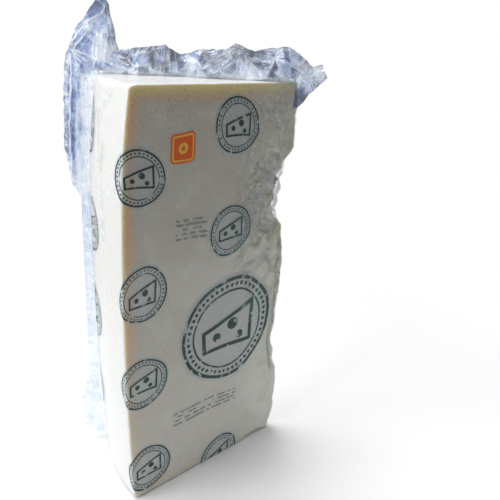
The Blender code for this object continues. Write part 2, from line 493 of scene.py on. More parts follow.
modify(cheese_wedge, "SMOOTH", factor=0.5, iterations=24, vertex_group="torn")
boulders = relief("boulders", "CLOUDS", 8 * MM)
lumps = relief("lumps", "VORONOI", 5.5 * MM, weight_1=-1.0, weight_2=1.0)
crumbs = relief("crumbs", "VORONOI", 3.2 * MM, weight_1=-1.0, weight_2=1.0)
waves = relief("waves", "CLOUDS", 16 * MM)
# texture, how far it pushes, the level that stays in place, and the group that it acts on
RELIEFS = (
    (boulders, 3.4 * MM, 0.55, "rough"), (boulders, 3.0 * MM, 0.65, "torn"),
    (lumps, 3.0 * MM, 0.42, "torn"), (crumbs, 1.5 * MM, 0.40, "torn"),
    (waves, 0.5 * MM, 0.60, "clean"),
)  # fmt: skip
for texture, strength, level, group in RELIEFS:
    modify(
        cheese_wedge, "DISPLACE", texture=texture, texture_coords="LOCAL",
        strength=strength, mid_level=level, vertex_group=group,
    )  # fmt: skip
print("reliefs pushed in:", len(RELIEFS))

# %% [markdown]
# ## The cheese's finish
#
# Cut cheese of this kind is a matt, slightly waxy ivory. Under the rind and the top it dries out
# first, so a band a few millimetres wide is straw yellow outside and tan inside. The band follows
# the depth under the wheel's skin, so the shader works out that depth from the point's own place,
# with the same formula as above. It is thinner under the side than under the top, and paler and
# greener towards the heart. Some light enters the cheese and comes out beside, mostly the red
# part, which makes lit edges glow, and the tan under the side is made orange partly to paint that
# glow.
# Small pale grains are strewn over the cut, and painted shade darkens small pits, the creases
# between crumbs and the crack.

# %% The cheese's colours and bands
PASTE = (0.640, 0.598, 0.492)
PASTE_ROSY = (0.645, 0.565, 0.468)
PASTE_GREEN = (0.730, 0.725, 0.590)
SKIN = (0.700, 0.690, 0.645)
STRAW = (0.770, 0.690, 0.290)
STRAW_PALE = (0.740, 0.730, 0.430)
TAN = (0.760, 0.535, 0.315)
GRAIN = (0.860, 0.830, 0.760)
# painted shade: the colours that darken small pits, the creases between crumbs and the crack
PIT_SHADE = (0.330, 0.300, 0.240)
CRAG_SHADE = (0.270, 0.270, 0.215)
CREVICE_SHADE = (0.120, 0.140, 0.105)
FATTY = (0.640, 0.640, 0.280)

# where each band starts to fade and where it has faded, in millimetres under the wheel's skin
SIDE_STRAW, TOP_STRAW = (1.4, 3.4), (3.0, 9.0)
SIDE_TAN, TOP_TAN = (5.0, 11.0), (6.0, 15.0)
SKIN_BAND = (0.35, 1.1)
# the fatty spot in the notch: where it starts along X, and its foot and top
FATTY_ALONG, FATTY_FOOT, FATTY_TOP = (50, 57), (179, 186), (190, 197)
CRAG_SIZE, CRUMB_SIZE, SPECK_SIZE = 5.0 * MM, 2.0 * MM, 1.5 * MM
print("bands under the side, mm:", SIDE_STRAW, SIDE_TAN)


# %% Build the cheese's material
def length(first, second):
    return (first**2 + second**2) ** 0.5


def crust_depth(x, y, z):
    """Depth under the wheel's skin, as depth_under_crust works it out, and under its side and top
    alone, all in millimetres."""
    radius = length(x - heart.x, y - heart.y)
    above = (z - BULGE_HEIGHT).most(0) / (WHEEL_HEIGHT - BULGE_HEIGHT)
    below = (BULGE_HEIGHT - z).most(0) / BULGE_HEIGHT
    bulge = SIDE_BULGE * (1 - above**3 - below**2)
    out = radius - bulge - (WHEEL_RADIUS - RIM_ROUND)
    up = abs(z - WHEEL_HEIGHT / 2) - (WHEEL_HEIGHT / 2 - RIM_ROUND)
    outside = length(out.most(0), up.most(0))
    whole = (RIM_ROUND - outside - out.most(up).least(0)) / MM
    return whole, (RIM_ROUND - out) / MM, (RIM_ROUND - up) / MM


def paste_colour(finish, place, side_depth, top_depth, near_heart):
    """The cut cheese: ivory, with rosy and greenish blotches, and the dry bands near the rind."""
    _, _, z, where = place
    paste = finish.tint(finish.noise(where, 30 * MM).rise(0.45, 0.75), PASTE, PASTE_ROSY)
    greenish = finish.noise(where, 18 * MM).rise(0.5, 0.8) * 0.8
    greenish = greenish.most(near_heart * finish.noise(where, 12 * MM).rise(0.28, 0.60))
    paste = finish.tint(greenish, paste, PASTE_GREEN)

    ragged = (finish.noise(where, 9 * MM) - 0.5) * 5.0
    dryness = z.rise(40 * MM, 190 * MM) * 0.8 + 0.2
    # the tan under the side is the dry band, made orange partly to paint the glow of light through
    # the lit rind
    side_tan_and_glow = (side_depth + ragged * 0.6).fall(*SIDE_TAN)
    top_tan = (top_depth + ragged).fall(*TOP_TAN) * (0.8 - near_heart * 0.4)
    paste = finish.tint(side_tan_and_glow.most(top_tan) * dryness, paste, TAN)
    side_straw = (side_depth + ragged * 0.2).fall(*SIDE_STRAW)
    top_straw = (top_depth + ragged).fall(*TOP_STRAW)
    straw = finish.tint(near_heart, STRAW, STRAW_PALE)
    return finish.tint(side_straw.most(top_straw) * dryness, paste, straw)


def cheese_finish():
    finish = Finish(bpy.data.materials.new("ivory_cheese"))
    place = finish.place()
    x, y, z, where = place
    depth, side_depth, top_depth = crust_depth(x, y, z)
    near_heart = (x - front_corner.x).rise(70 * MM, 125 * MM)
    paste = paste_colour(finish, place, side_depth, top_depth, near_heart)

    crumbly = finish.attribute("crumbly")
    crumb = finish.noise(where, CRUMB_SIZE, detail=4.0, roughness=0.6)
    # painted shade in the creases between crumbs, where the lumps are also pushed in
    crags = finish.cells(where, CRAG_SIZE) + (crumb - 0.5) * 1.1
    paste = finish.tint(crumbly * crags.rise(0.46, 0.84) * 0.52, paste, CRAG_SHADE)
    up = z / MM
    fatty = (x / MM).rise(*FATTY_ALONG) * up.rise(*FATTY_FOOT) * up.fall(*FATTY_TOP)
    paste = finish.tint(fatty * 0.7, paste, FATTY)
    # painted shade in the crack and the crumbly strip
    crevice = finish.attribute("crevice") * (crumb.rise(0.35, 0.6) * 0.5 + 0.5)
    paste = finish.tint(crevice * 0.8, paste, CREVICE_SHADE)
    skin = finish.tint(depth.fall(*SKIN_BAND), paste, SKIN)

    specks = finish.noise(where, SPECK_SIZE, detail=1.0)
    on_cut = depth.rise(0.6, 1.6)
    crowd = (top_depth.fall(8, 40) * 0.05 + near_heart * 0.04) * on_cut
    chosen = finish.noise(where, 9 * MM, detail=1.0)
    pale = (specks + crowd).rise(0.62, 0.70) * (chosen + crowd).rise(0.42, 0.52)
    # dark specks: painted shade in small pits, which are also pushed in
    dark = (specks - crowd * 0.5).fall(0.29, 0.35) * on_cut
    colour = finish.tint(pale * 0.5, skin, GRAIN)
    colour = finish.tint(dark * 0.38, colour, PIT_SHADE)

    height = crumb * (crumbly * 1.5 + 0.5) + finish.noise(where, 6 * MM) * 0.6 + pale * 0.5 - dark
    height = height - crumbly * crags * 3.5
    return finish.surface(finish.node("ShaderNodeBsdfPrincipled", None, {
        "Base Color": colour,
        "Roughness": crumb.rise(0.2, 0.8) * 0.2 + 0.42,
        "Subsurface Weight": 0.45,
        "Subsurface Radius": (1.0, 0.50, 0.18),
        "Subsurface Scale": 7 * MM,
        "Normal": finish.bump(height, 0.35 * MM),
    }))  # fmt: skip


cheese_wedge.data.materials.append(cheese_finish())
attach(cheese_wedge, "root")
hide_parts("cheese")
print("cheese finished")

# %% [markdown]
# ## The film that clings
#
# The vacuum pulls the film onto every clean side, and stretches it over the hollows like a drum.
# It starts from the smooth form that was put aside. It spans the notch nearly straight, so its
# edge is moved out there, and the hollows in the front cut are made shallow. Shrinkwrap then
# brings the film outside the cheese, and a last smoothing draws it tight between the lumps. Where
# it bridges a hollow it turns milky, so its distance from the cheese is kept for the finish.

# %% Stretch a skin of film over the cheese
FILM_GAP = 0.3 * MM
# height, and how far the film spans out from the heart edge there, in millimetres
FILM_SPAN = ((194, 0), (203, 1.6), (211, 2.2), (219, 2.4), (227, 4.6), (235, 2.0), (243, 0))
# how much of a shallow hollow the film fills, and the depths between which it leaves the deep ones
HOLLOW_SHARE = 0.7
HOLLOWS_LEFT = (8 * MM, 14 * MM)


def tighten(times):
    """Draws the film tighter over what is torn or broken."""
    modify(clinging_film, "SMOOTH", factor=0.5, iterations=times, vertex_group="torn")


film_points = points_of(clinging_film)
hollow, _ = depth_under_cuts(film_points)
facing_front = rise(-normals_of(clinging_film)[:, 1], 0.2, 0.7)
filled = hollow * HOLLOW_SHARE * facing_front * (1 - rise(hollow, *HOLLOWS_LEFT))
film_points[:, 1] -= np.maximum(filled, 0)
put_points(clinging_film, film_points)
tighten(30)
spanned = swell(clinging_film, FILM_SPAN)
tighten(8)
modify(clinging_film, "DISPLACE", strength=FILM_GAP, mid_level=0.0)
modify(
    clinging_film, "SHRINKWRAP", target=cheese_wedge, wrap_method="NEAREST_SURFACEPOINT",
    wrap_mode="OUTSIDE", offset=FILM_GAP,
)  # fmt: skip
tighten(16)
under = BVHTree.FromObject(cheese_wedge, bpy.context.evaluated_depsgraph_get())
distances = [under.find_nearest(Vector(point))[3] for point in points_of(clinging_film)]
gaps = np.array(distances) - FILM_GAP
keep(clinging_film, stand_off=gaps / MM, spanned=spanned / MM)
print("film faces:", len(clinging_film.data.polygons))
print("widest bridge, mm:", round(gaps.max() / MM, 1))

# %% [markdown]
# ## Unrolling the pack
#
# The print runs round the pack like wallpaper, so it needs a flat coordinate that follows the
# surface: how far round the pack from the front rind corner, and how high. Each face is given to
# one side of the wedge by its direction, and its corners are measured along that side. The result
# is a UV map in metres. A mask leaves the print off the top, the foot and the narrow heart edge.

# %% Measure the film along its sides and keep it as a UV map
LEVEL_FACING = 0.7
HEART_FACING = 0.75
RIND_FROM = 0.9 * WHEEL_RADIUS


def round_the_pack(points, normals):
    """Distance round the pack and height, for points that face the given ways."""
    from_heart = points - np.array(heart)
    radius = np.hypot(from_heart[:, 0], from_heart[:, 1])
    bulge = side_bulge(points[:, 2])
    turned = np.arctan2(from_heart[:, 1], -from_heart[:, 0])
    along_back = from_heart[:, :2] @ np.array(BACKWARD[:2])
    on_front = points[:, 0] - front_corner.x
    on_rind = -bulge - WHEEL_RADIUS * turned
    on_back = -2 * bulge - WHEEL_RADIUS * WEDGE_ANGLE - (WHEEL_RADIUS - along_back)
    faces_rind = np.where(radius > RIND_FROM, -normals[:, 0], -1)
    faces_back = normals[:, :2] @ np.array(BACK_NORMAL[:2])
    side = np.argmax((-normals[:, 1], faces_rind, faces_back), axis=0)
    level = abs(normals[:, 2]) > LEVEL_FACING
    around = np.choose(np.where(level, 0, side), (on_front, on_rind, on_back))
    height = points[:, 2] + np.where(level, points[:, 1] - front_corner.y, 0)
    return around, height, level


def unroll(piece):
    """A UV map round the pack, one measure for each face corner, and a mask for the print."""
    mesh = piece.data
    corners = read(mesh.loops, "vertex_index", kind=int)
    counts = read(mesh.polygons, "loop_total", kind=int)
    facing = np.repeat(read(mesh.polygons, "normal", 3), counts, axis=0)
    around, height, level = round_the_pack(points_of(piece)[corners], facing)
    layer = mesh.uv_layers.new(name="unrolled")
    layer.data.foreach_set("uv", np.column_stack((around, height)).ravel())
    unprinted = level | (facing[:, 0] > HEART_FACING)
    printed = mesh.attributes.new("printed", "FLOAT", "CORNER")
    printed.data.foreach_set("value", np.where(unprinted, 0.0, 1.0))
    return around


around = unroll(clinging_film)
print("round the pack, mm:", round(1000 * around.min()), "to", round(1000 * around.max()))

# %% [markdown]
# ## Wrinkles in the clinging film
#
# A few long wrinkles stay in the film where it was too wide for the cheese: they sweep from the
# top corner down the rind side, and they cross the torn part of the front cut. Each is a path on
# the unrolled pack. The points near a path are lifted along their normals, and the same nearness
# is kept, so that the finish can show the folded film a little milkier, with a painted highlight,
# and so is a soft strip beside each fold, where the finish paints shade.

# %% Lift the wrinkles
# Places are in millimetres on the unrolled pack. The rind side is left of the front rind corner.
WRINKLES = (
    (
        (-5, 299.5), (-16, 298), (-25.5, 291.7), (-38, 284), (-48, 276.6), (-57, 266), (-66, 251),
        (-67, 226),
    ),
    ((-17, 295), (-29, 287), (-36, 281), (-39, 270), (-38, 250)),
    ((-30, 262), (-34, 240), (-33, 222), (-31, 200)),
    ((-60, 205), (-58, 170), (-61, 130), (-59, 95)),
    ((93.7, 285), (101, 286.5), (108, 283), (109, 276), (103, 268), (99, 254), (97, 243)),
    ((120, 282), (124, 270), (128.5, 260), (130, 250), (128, 238)),
)  # fmt: skip
WRINKLE_HEIGHT = 0.8 * MM
WRINKLE_SWAY = 3
WRINKLE_REACH = 0.75
SHADE_ASIDE = 3.2
SHADE_REACH = 1.9


def nearness(across, up, paths, reach):
    """1 on the nearest of the paths, falling to 0 within about twice the reach."""
    nearest = np.full(across.shape, np.inf)
    for path in paths:
        for start, end in zip(path, path[1:]):
            run_x, run_y = end[0] - start[0], end[1] - start[1]
            past = (across - start[0]) * run_x + (up - start[1]) * run_y
            share = np.clip(past / (run_x**2 + run_y**2 + 1e-9), 0, 1)
            beside = np.hypot(across - start[0] - share * run_x, up - start[1] - share * run_y)
            nearest = np.minimum(nearest, beside)
    return np.exp(-((nearest / reach) ** 2))


film_points = points_of(clinging_film)
film_normals = normals_of(clinging_film)
around, height, level = round_the_pack(film_points, film_normals)
sway = cloud(film_points, 9 * MM, 7) * WRINKLE_SWAY
wrinkle = nearness(around / MM + sway, height / MM + sway, WRINKLES, WRINKLE_REACH)
# a strip beside each wrinkle where shade is painted grey
fold_shade = nearness(around / MM + sway + SHADE_ASIDE, height / MM + sway, WRINKLES, SHADE_REACH)
shown = np.where(level, 0, rise(cloud(film_points, 14 * MM, 2), -0.45, 0.0))
wrinkle *= shown
put_points(clinging_film, film_points + film_normals * (wrinkle * WRINKLE_HEIGHT)[:, None])
keep(clinging_film, wrinkle=wrinkle, fold_shade=fold_shade * shown)
print(len(WRINKLES), "wrinkles lifted")

# %% [markdown]
# ## The print
#
# Such a bag is printed all over with a repeat of small badges, one large badge, some small print
# and a seal. The motifs here are plain ones: round badges with a beaded border round a wedge with
# holes, broken bars for the small print, and a rounded orange square. A badge is drawn from each
# point's distance and direction to the nearest lattice point, so one formula draws all of them. The
# print comes out as masks: ink, the pale tint that fills the badges, the square, and its marks.

# %% Lay the print out, and draw the badges as masks
BADGE_PITCH = (78 * MM, 70 * MM)
BADGE_SHIFT = (10 * MM, 30 * MM)
BADGE_STRAY = 16 * MM
BADGE_RADIUS = 18.5 * MM
LARGE_BADGE = (84 * MM, 118 * MM)
LARGE_RADIUS = 42 * MM
SEAL = (38 * MM, 262 * MM)
SEAL_HALF = 9.5 * MM
BARS = ((32 * MM, 60 * MM, 197 * MM, 213 * MM), (34 * MM, 96 * MM, 48 * MM, 61 * MM))
BAR_PITCH = 3.3 * MM
WORD_LENGTH = 4.2 * MM
SMALL_BEADS, LARGE_BEADS = 36, 48
HIGHEST_BADGE = 284 * MM
FURTHEST_BADGE = 124 * MM
# no small badge has its centre this near the large badge and the seal, or past this line and height
LARGE_ROOM, SEAL_ROOM = 62 * MM, 30 * MM
BREAK_AROUND, BREAK_UP = (94 * MM, 96 * MM), (140 * MM, 142 * MM)
# place and size of the holes in the badge's wedge, in badge radii
HOLES = ((-0.26, -0.08, 0.10), (0.12, 0.10, 0.13), (0.30, -0.18, 0.09))


def line(distance, half, soft=0.25):
    """1 on a line of the given half width, 0 off it."""
    return abs(distance).fall(half * (1 - soft), half * (1 + soft))


def wedge_glyph(across, up, radius):
    """The outline of a wedge with three holes in it, about as wide as radius."""
    across = across / radius
    up = up / radius
    slope = (up - 0.26 - across * 0.34) * 0.947
    side = abs(across) - 0.56
    foot = -0.34 - up
    edge = slope.most(side).most(foot)
    outline = line(edge, 0.042)
    for x, y, size in HOLES:
        outline = outline.most(length(across - x, up - y).fall(size * 0.85, size * 1.1))
    return outline


def badge(across, up, radius, beads):
    """Ink and fill of one badge, from where a point lies beside its centre."""
    reach = length(across, up) / radius
    turned = up.arctan2(across) * (beads / (2 * math.pi))
    bead = abs(turned.fraction() - 0.5) * (2 * math.pi / beads)
    ink = line(reach - 1.0, 0.036).most(line(reach - 0.78, 0.020))
    ink = ink.most(length(reach - 0.89, bead).fall(0.030, 0.050))
    ink = ink.most(wedge_glyph(across, up, radius * 0.98))
    return ink, reach.fall(1.06, 1.16)


def lattice_badges(finish, around, up):
    """Small badges in a loose half-drop repeat, left out near the large badge, seal and break."""
    column = ((around - BADGE_SHIFT[0]) / BADGE_PITCH[0] + 0.5).floor()
    drop = (column / 2).fraction() * BADGE_PITCH[1] + BADGE_SHIFT[1]
    row = ((up - drop) / BADGE_PITCH[1] + 0.5).floor()
    cell = finish.node("ShaderNodeCombineXYZ", None, {0: column, 1: row})
    stray = finish.node("ShaderNodeTexWhiteNoise", None, {"Vector": cell}, output="Color")
    stray_x, stray_y, _ = finish.parts(stray)
    centre_x = column * BADGE_PITCH[0] + BADGE_SHIFT[0] + (stray_x - 0.5) * BADGE_STRAY
    centre_y = row * BADGE_PITCH[1] + drop + (stray_y - 0.5) * BADGE_STRAY
    clear = centre_y.fall(HIGHEST_BADGE, HIGHEST_BADGE + MM)
    clear = clear * centre_x.fall(FURTHEST_BADGE, FURTHEST_BADGE + MM)
    for (x, y), room in ((LARGE_BADGE, LARGE_ROOM), (SEAL, SEAL_ROOM)):
        clear = clear * length(centre_x - x, centre_y - y).rise(room, room + MM)
    clear = clear * (1 - centre_x.rise(*BREAK_AROUND) * centre_y.rise(*BREAK_UP))
    ink, fill = badge(around - centre_x, up - centre_y, BADGE_RADIUS, SMALL_BEADS)
    return ink * clear, fill * clear


print("badge formulas ready")

# %% Draw the small print and the seal
def small_print(finish, around, up):
    """Blocks of thin broken bars."""
    blocks = []
    for left, right, low, high in BARS:
        block = around.rise(left, left + MM) * around.fall(right - MM, right)
        block = block * up.rise(low, low + 0.5 * MM) * up.fall(high - 0.5 * MM, high)
        row = (up - low) / BAR_PITCH
        bar = abs(row.fraction() - 0.5).fall(0.20, 0.28)
        values = {0: around / WORD_LENGTH, 1: row.floor() * 7.3}
        words = finish.node("ShaderNodeCombineXYZ", None, values)
        blocks.append(block * bar * finish.noise(words, 1.0, detail=0.0).rise(0.40, 0.46))
    ink = blocks.pop()
    for block in blocks:
        ink = ink.most(block)
    return ink


def seal(around, up):
    """A rounded square with a light frame and a light spot: masks of its field and its marks."""
    across = abs(around - SEAL[0]) / SEAL_HALF
    along = abs(up - SEAL[1]) / SEAL_HALF
    inner = length((across - 0.65).most(0), (along - 0.65).most(0))
    edge = inner + across.most(along).least(0.65) - 1.0
    spot = length(across, along)
    marks = line(edge + 0.20, 0.055).most(spot.fall(0.34, 0.40))
    return edge.fall(-0.03, 0.03), marks * spot.rise(0.14, 0.20)


print("small print and seal ready:", len(BARS), "blocks")

# %% [markdown]
# ## The clinging film's finish
#
# Clear film is nearly all see-through, with a mirror-like gloss that grows at a slant. That is a
# Transparent shader mixed with a Glossy one by Fresnel. The print lies on top as an ordinary
# surface: where a mask says ink, the film is covered. A little haze keeps the cheese behind it
# slightly milky, as film does, and more haze towards the foot paints the lower part of the cut
# lighter, as light from the floor would.

# %% Build the printed film's material
INK = (0.012, 0.040, 0.030)
INK_GREEN = (0.010, 0.120, 0.075)
BADGE_TINT = (0.560, 0.640, 0.700)
SEAL_FIELD = (0.720, 0.120, 0.020)
SEAL_MARKS = (0.860, 0.520, 0.080)
HAZE = (0.800, 0.840, 0.900)
# milky film; on the folds also a painted highlight
MILKY = (0.930, 0.920, 0.980)
# painted shade beside the folds
FOLD_SHADOW = (0.330, 0.330, 0.370)
FILM_CLEAR = (0.970, 0.980, 1.000, 1)


def clear_gloss(finish, gloss_normal, roughness, ior):
    """See-through film that mirrors at a slant."""
    slant = finish.node("ShaderNodeFresnel", None, {"IOR": ior, "Normal": gloss_normal})
    clear = finish.node("ShaderNodeBsdfTransparent", None, {"Color": FILM_CLEAR})
    values = {"Color": (1, 1, 1, 1), "Roughness": roughness, "Normal": gloss_normal}
    mirror = finish.node("ShaderNodeBsdfAnisotropic", None, values)
    return finish.mixed(slant * 0.5, clear, mirror)


def printed_film_finish():
    finish = Finish(bpy.data.materials.new("printed_film"))
    where = finish.place()[3]
    unrolled = finish.node("ShaderNodeUVMap", {"uv_map": "unrolled"})
    drift = finish.noise(unrolled, 55 * MM, detail=1.0).output("Color")
    sway = finish.noise(unrolled, 42 * MM, detail=1.0)
    flat_around, flat_up, _ = finish.parts(unrolled)
    drift_around, drift_up, _ = finish.parts(drift)
    around = flat_around + (drift_around - 0.5) * (7 * MM)
    up = flat_up + (drift_up - 0.5) * (9 * MM) + (sway - 0.5) * (3 * MM)

    on_bag = finish.attribute("printed")
    small_ink, small_fill = lattice_badges(finish, around, up)
    across, above = around - LARGE_BADGE[0], up - LARGE_BADGE[1]
    large_ink, large_fill = badge(across, above, LARGE_RADIUS, LARGE_BEADS)
    rub = finish.noise(where, 5 * MM).rise(0.30, 0.42)
    ink = small_ink.most(large_ink).most(small_print(finish, around, up) * 0.75) * on_bag * rub
    fill = small_fill.most(large_fill) * on_bag
    field, marks = (mask * on_bag for mask in seal(around, up))

    # what the film looks like, from how it lies on the cheese, with painted highlights and painted
    # shade on its folds
    stand_off = finish.attribute("stand_off")
    open_span = finish.attribute("spanned").rise(0.2, 1.2) * stand_off.rise(1.2, 3.5)
    # folded film, milkier and with a painted highlight along each wrinkle
    folded_milk_and_glint = finish.attribute("wrinkle") * finish.noise(where, 4 * MM).rise(0.35, 0.6)
    # painted shade beside each wrinkle
    shaded = finish.attribute("fold_shade") * finish.noise(where, 8 * MM).rise(0.3, 0.6)
    bridging = stand_off.rise(0.5, 3.0) * finish.noise(where, 5 * MM).rise(0.25, 0.6)
    # haze, stronger towards the foot, where it paints the lower part of the cut lighter as light
    # from the floor would
    haze_and_foot_light = finish.noise(where, 24 * MM) * 0.08 + up.fall(20 * MM, 190 * MM) * 0.10

    film_tint = finish.tint(shaded * (1 - folded_milk_and_glint), HAZE, FOLD_SHADOW)
    colour = finish.tint(fill, finish.tint(open_span.most(folded_milk_and_glint), film_tint, MILKY), BADGE_TINT)
    colour = finish.tint(field, colour, finish.tint(marks, SEAL_FIELD, SEAL_MARKS))
    green = finish.noise(where, 26 * MM, detail=1.0).rise(0.50, 0.66)
    colour = finish.tint(ink, colour, finish.tint(green * 0.5, INK, INK_GREEN))
    cover = haze_and_foot_light
    for mask, share in (
        (bridging, 0.24), (folded_milk_and_glint, 0.62), (fill, 0.30), (open_span, 0.42), (shaded, 0.34),
        (ink, 0.95), (field, 0.92),
    ):  # fmt: skip
        cover = cover.most(mask * share)

    swells = finish.noise(where, 9 * MM, detail=2.0)
    ripples = finish.noise(where, 2.4 * MM, detail=1.0)
    dents = finish.bump(swells + ripples * 0.15, 0.5 * MM)
    paint = finish.node("ShaderNodeBsdfPrincipled", None, {
        "Base Color": colour, "Roughness": 0.34, "Specular IOR Level": 0.25, "Normal": dents,
    })  # fmt: skip
    film = clear_gloss(finish, dents, roughness=0.14, ior=1.45)
    return finish.surface(finish.mixed(cover, film, paint))


clinging_film.data.materials.append(printed_film_finish())
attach(clinging_film, "root")
print("clinging film finished")

# %% [markdown]
# ## The loose film
#
# Beyond the cheese the two walls of the bag lie against each other and are welded at the mouth.
# Crumpled film has straight sharp creases with nearly flat facets between them. Noise can't give
# that, and a cloth simulation gives soft folds. So the sheet is laid out flat in the plane of the
# bag's seam: its outline, the main creases that can be seen, each point with its height over that
# plane, and more points strewn between them. A triangulation joins them into facets, and a
# subdivision with creased edges rounds the facets a little and leaves the creases sharp.

# %% The loose film's outline
# Places are in millimetres: distance from the heart along the back cut, height, and then how far
# forward of the seam plane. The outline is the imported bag's own.
FREE_EDGE = (
    (154.0, 3.0), (165.0, 12.0), (167.5, 38.0), (160.0, 60.0), (160.0, 212.0), (165.5, 220.0),
    (169.7, 250.0), (168.0, 290.0), (165.5, 312.0), (156.5, 329.5), (144.8, 345.5), (139.2, 347.5),
    (136.0, 340.0), (134.6, 330.0), (133.0, 323.0), (131.2, 314.5), (122.8, 316.6), (100.2, 320.1),
    (89.2, 313.9), (76.3, 318.2), (57.0, 319.3), (51.6, 323.5), (37.3, 319.4), (14.8, 323.9),
    (3.4, 317.2), (-4.6, 310.8), (-11.0, 312.9), (-16.5, 303.8), (-6.3, 294.3), (4.5, 281.7),
)  # fmt: skip
FRONT_ROOT = (
    (8, 282, 0.3), (8.5, 298.2, 0.5), (18, 298.4, 2), (30, 298.4, 3), (45, 298.4, 5),
    (60, 298.4, 3), (76, 298.4, 5), (90, 298.4, 4), (104, 298.4, 3), (118, 298.4, 5),
    (132, 298.2, 7), (141, 295, 9), (143.5, 282, 9), (144, 262, 8), (144, 200, 9),
    (144, 130, 8), (143.5, 60, 8), (143, 12, 5), (143, 3, 3),
)  # fmt: skip
BACK_ROOT = (
    (8, 282, -2), (9, 298.4, -3.4), (40, 298.4, -3.6), (76, 298.4, -3.4), (110, 298.4, -3.6),
    (141, 296, -3.4), (143.5, 262, -2.5), (143.5, 130, -2.5), (143, 12, -2.5), (143, 3, -1),
)  # fmt: skip
print("free edge:", len(FREE_EDGE), "corners")

# %% The creases that catch the eye
# A bright crease shows as a white line: folded film turns milky, and the line is also a painted
# glint. A soft one only bends.
BRIGHT_CREASES = {
    "mouth_weld": (
        (153.5, 331.2, 1), (149.1, 332.9, 2), (142.6, 336.1, 2.5), (139.6, 339.9, 2),
        (138.6, 343, 1),
    ),
    "weld_outer": ((163.3, 316.2, 1), (156.4, 325.4, 2), (150.4, 331.9, 2.5)),
    "weld_inner": (
        (161, 313.6, 1.5), (152.7, 323.8, 3), (149.3, 327.4, 3.5), (144.9, 324.8, 4),
        (141.7, 324.4, 5),
    ),
    "fan_1": ((162, 314, 1.5), (158, 305.8, 5)),
    "fan_2": ((162, 314, 1.5), (155.2, 306, 5.5)),
    "fan_3": ((162, 314, 1.5), (151.4, 306.8, 6)),
    "fan_4": ((160.6, 313.4, 2), (154, 312, 4), (147.4, 309.6, 6)),
    "fin": (
        (162.6, 311, 3), (161.9, 303.7, 4), (163.6, 284, 3.5), (165.1, 267, 3), (165.4, 246.1, 3),
        (165.3, 235.3, 2.5), (166, 228, 1.5),
    ),
    "lip": (
        (145, 309, 8), (140.9, 308, 9), (131.7, 304.6, 10), (125.1, 303.2, 11), (118.4, 299.8, 13),
    ),
    "arc": ((124.9, 310.7, 5), (121.7, 306.4, 8), (117, 305.7, 9), (110.9, 306.9, 8)),
    "arc_top": ((121.5, 312.5, 4), (116, 314.4, 3.5), (110.9, 314.7, 3)),
    "middle": ((67.5, 303.8, 9), (58.6, 308.3, 8), (52.4, 311.9, 6)),
    "notch_fold": ((77.5, 310, 6), (75.6, 306.4, 8)),
    "pale_fold": ((48.5, 314, 5), (43, 306.5, 8), (37, 301, 10)),
    "ridge_right": (
        (24, 316, 3), (17.5, 313.7, 6), (12.3, 311.3, 5), (4.6, 306.9, 3), (-3, 303.6, 2),
        (-9, 301.4, 1),
    ),
    "ridge_over": ((6.9, 311, 4), (4.6, 306.9, 3)),
    "leg_left": ((24, 316, 5), (30.5, 302, 9)),
    "leg_right": ((24, 316, 5), (20, 303, 6)),
    "leg_far": ((23, 313, 6), (16.8, 304, 6)),
    "ear_fold": ((-6, 302.4, 2), (-9.5, 307.5, 2), (-13.2, 309, 1)),
}
SOFT_CREASES = {
    "collar_left": ((147.4, 309.6, 6), (146.4, 318, 5), (145.2, 323, 4)),
    "collar_right": ((138.8, 309.8, 8), (138.2, 318, 6), (137.6, 326, 4), (138, 335, 2)),
    "peak_side": ((135.4, 316.6, 3), (136.6, 324, 4), (135.6, 331, 2)),
    "fin_stripe": (
        (158.8, 306, 4), (158.6, 294.2, 6), (159.2, 274.1, 5), (160.6, 253.3, 4.5),
        (162.3, 239, 3.5), (164.1, 230.2, 2),
    ),
    "fin_web": (
        (152, 292, 7), (151.5, 262, 6), (153, 230, 5), (152, 170, 4), (152.5, 110, 4), (152, 50, 4),
    ),
    "fall_1": ((107.2, 316.5, 1), (107, 310, 3), (106.8, 303, 7)),
    "fall_2": ((101.2, 318, 2), (101, 310, 5), (100.6, 303, 8)),
    "fall_3": ((98, 318, 2), (97.4, 310, 3), (97, 303, 8)),
    "fall_4": ((93, 315.2, 1), (92.4, 310, 3), (91, 303, 8)),
    "top_fold": ((79, 316, 2), (70.5, 313, 5), (62, 315.5, 3)),
    "dark_fold": ((43, 318, 1), (41, 312.5, 3), (33, 312.5, 4), (28, 317, 2)),
    "ear_low": ((4, 297, 1), (-3, 298.5, 1.5)),
}
print(len(BRIGHT_CREASES) + len(SOFT_CREASES), "creases laid out")

# %% [markdown]
# ## Joining creases into facets
#
# The free edge is ragged, so the points between its corners stray a little. The strewn points get
# their height from their neighbours, nearer ones counting more, and then a random nudge, because no
# facet of crumpled film is level with the next. Blender's constrained triangulation keeps every
# crease as an edge.

# %% Points along the edge, and points strewn between
EDGE_SWAY = 3.0
EDGE_SWAY_LENGTH = 30.0
EDGE_STEP = 3.2
FLAP_FOOT = 215.0


def edge_height(s, z):
    """How far the free edge sways forward or back, in millimetres."""
    return EDGE_SWAY * noise.noise(Vector((s, z, 0)) / EDGE_SWAY_LENGTH)


def walk(path, step):
    """Points along a path, no further apart than step."""
    places = []
    for start, end in zip(path, path[1:]):
        start, end = Vector(start), Vector(end)
        count = max(1, round((end - start).length / step))
        places += [start.lerp(end, i / count) for i in range(count)]
    return [*places, Vector(path[-1])]


def ragged_edge(draw, stray):
    """The free edge, whose points stray sideways by up to stray above the foot of the flap."""
    places = walk([Vector((s, z, edge_height(s, z))) for s, z in FREE_EDGE], EDGE_STEP)
    for place in places[1:-1]:
        reach = stray if place.y > FLAP_FOOT else stray * 0.4
        place.x += draw.uniform(-reach, reach)
        place.y += draw.uniform(-reach, reach)
    return places


